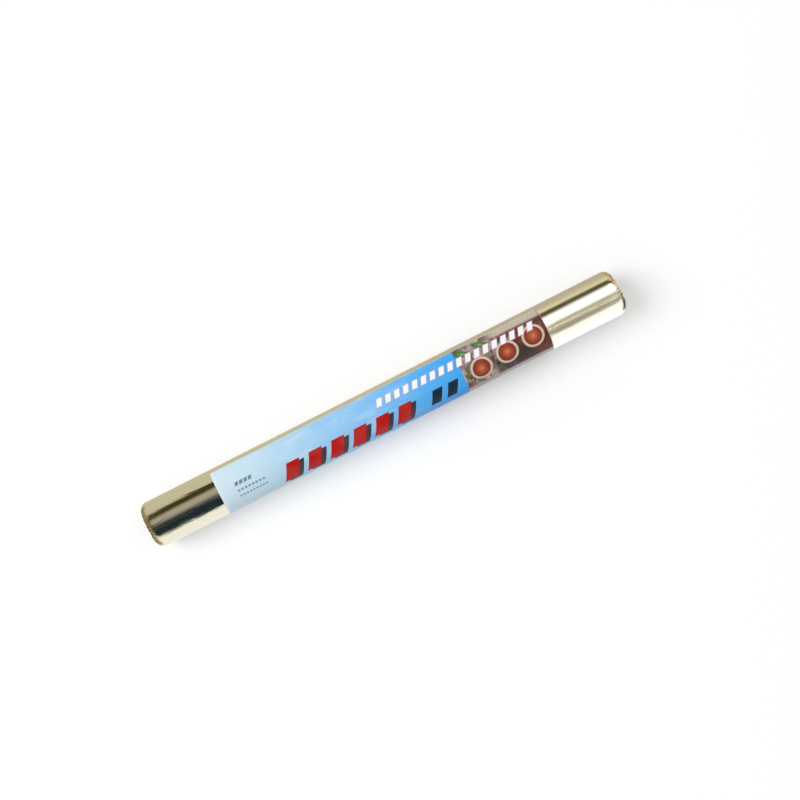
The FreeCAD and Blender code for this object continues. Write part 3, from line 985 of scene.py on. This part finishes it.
def build_key(settings):
    """The soft key lamp, up and to the left behind the roll."""
    lamp = bpy.data.lights.new("key", "AREA")
    lamp.shape = "DISK"
    lamp.size = KEY_SIZE
    lamp.energy = settings.key_power
    key = bpy.data.objects.new("key", lamp)
    turn = (KEY_PLACE - KEY_AIM).to_track_quat("Z", "Y").to_matrix().to_4x4()
    key.matrix_world = Matrix.Translation(KEY_PLACE) @ turn
    key.visible_glossy = False
    bpy.context.scene.collection.objects.link(key)


def build_camera():
    """A camera that looks down on the roll and is turned so that the roll's right end rises."""
    camera = bpy.data.objects.new("camera", bpy.data.cameras.new("camera"))
    camera.data.lens = CAMERA_LENS
    back = (CAMERA_PLACE - CAMERA_AIM).normalized()
    right = Vector((math.sin(CAMERA_TURN), math.cos(CAMERA_TURN), 0)).cross(back).normalized()
    up = back.cross(right)
    turn = Matrix((right, up, back)).transposed().to_4x4()
    camera.matrix_world = Matrix.Translation(CAMERA_PLACE) @ turn
    bpy.context.scene.collection.objects.link(camera)
    bpy.context.scene.camera = camera


class FOILROLL_OT_stage(bpy.types.Operator):
    """Set up the camera, the floor, the key lamp, the surround and the reflected cards"""

    bl_idname = "foilroll.stage"
    bl_label = "Build stage"

    def execute(self, context):
        settings = context.scene.foilroll_studio
        context.scene.view_settings.view_transform = "Standard"
        build_camera()
        build_world(settings)
        build_floor(settings)
        build_key(settings)
        for index, card in enumerate(CARDS):
            radius = settings.card_radius + CARD_SPACING * index
            build_card(card, radius, CARD_FLOOR_HEIGHT - CARD_FLOOR_SPACING * index)
        for sheet in SHEETS:
            build_sheet(sheet)
        return {"FINISHED"}


class FOILROLL_OT_finishes(bpy.types.Operator):
    """Make the node groups that the finishes share"""

    bl_idname = "foilroll.finishes"
    bl_label = "Make shared finishes"

    def execute(self, context):
        fine_wear_group()
        block_row_group()
        leaf_row_group()
        return {"FINISHED"}


class FOILROLL_OT_core(bpy.types.Operator):
    """Model the cardboard core tube"""

    bl_idname = "foilroll.core"
    bl_label = "Build core tube"

    def execute(self, context):
        build_core(context.scene.foilroll_core)
        return {"FINISHED"}


class FOILROLL_OT_foil(bpy.types.Operator):
    """Model the wound foil with its gathered ends"""

    bl_idname = "foilroll.foil"
    bl_label = "Build foil"

    def execute(self, context):
        build_foil(context.scene.foilroll_foil)
        return {"FINISHED"}


class FOILROLL_OT_label(bpy.types.Operator):
    """Model the printed paper label"""

    bl_idname = "foilroll.label"
    bl_label = "Build label"

    def execute(self, context):
        build_label(context.scene.foilroll_label)
        return {"FINISHED"}


class FOILROLL_PT_sidebar(bpy.types.Panel):
    """The roll's sizes, colours and build steps"""

    bl_idname = "FOILROLL_PT_sidebar"
    bl_label = "Foil roll"
    bl_space_type = "VIEW_3D"
    bl_region_type = "UI"
    bl_category = "Foil roll"

    def draw(self, context):
        scene = context.scene
        steps = (
            ("foilroll.stage", scene.foilroll_studio),
            ("foilroll.finishes", None),
            ("foilroll.core", scene.foilroll_core),
            ("foilroll.foil", scene.foilroll_foil),
            ("foilroll.label", scene.foilroll_label),
        )
        for operator, settings in steps:
            box = self.layout.box()
            box.operator(operator)
            if settings is not None:
                for name in settings.__annotations__:
                    box.prop(settings, name)


CLASSES = (
    FoilSettings, LabelSettings, CoreSettings, StudioSettings, FOILROLL_OT_stage, FOILROLL_OT_finishes,
    FOILROLL_OT_core, FOILROLL_OT_foil, FOILROLL_OT_label, FOILROLL_PT_sidebar,
)
SETTINGS = {
    "foilroll_foil": FoilSettings,
    "foilroll_label": LabelSettings,
    "foilroll_core": CoreSettings,
    "foilroll_studio": StudioSettings,
}


def register():
    for item in CLASSES:
        bpy.utils.register_class(item)
    for name, group in SETTINGS.items():
        setattr(bpy.types.Scene, name, PointerProperty(type=group))


def unregister():
    for name in SETTINGS:
        delattr(bpy.types.Scene, name)
    for item in reversed(CLASSES):
        bpy.utils.unregister_class(item)


def main():
    register()
    bpy.ops.foilroll.stage()
    bpy.ops.foilroll.finishes()
    bpy.ops.foilroll.core()
    bpy.ops.foilroll.foil()
    bpy.ops.foilroll.label()
    bpy.context.view_layer.update()


if __name__ == "__main__":
    main()
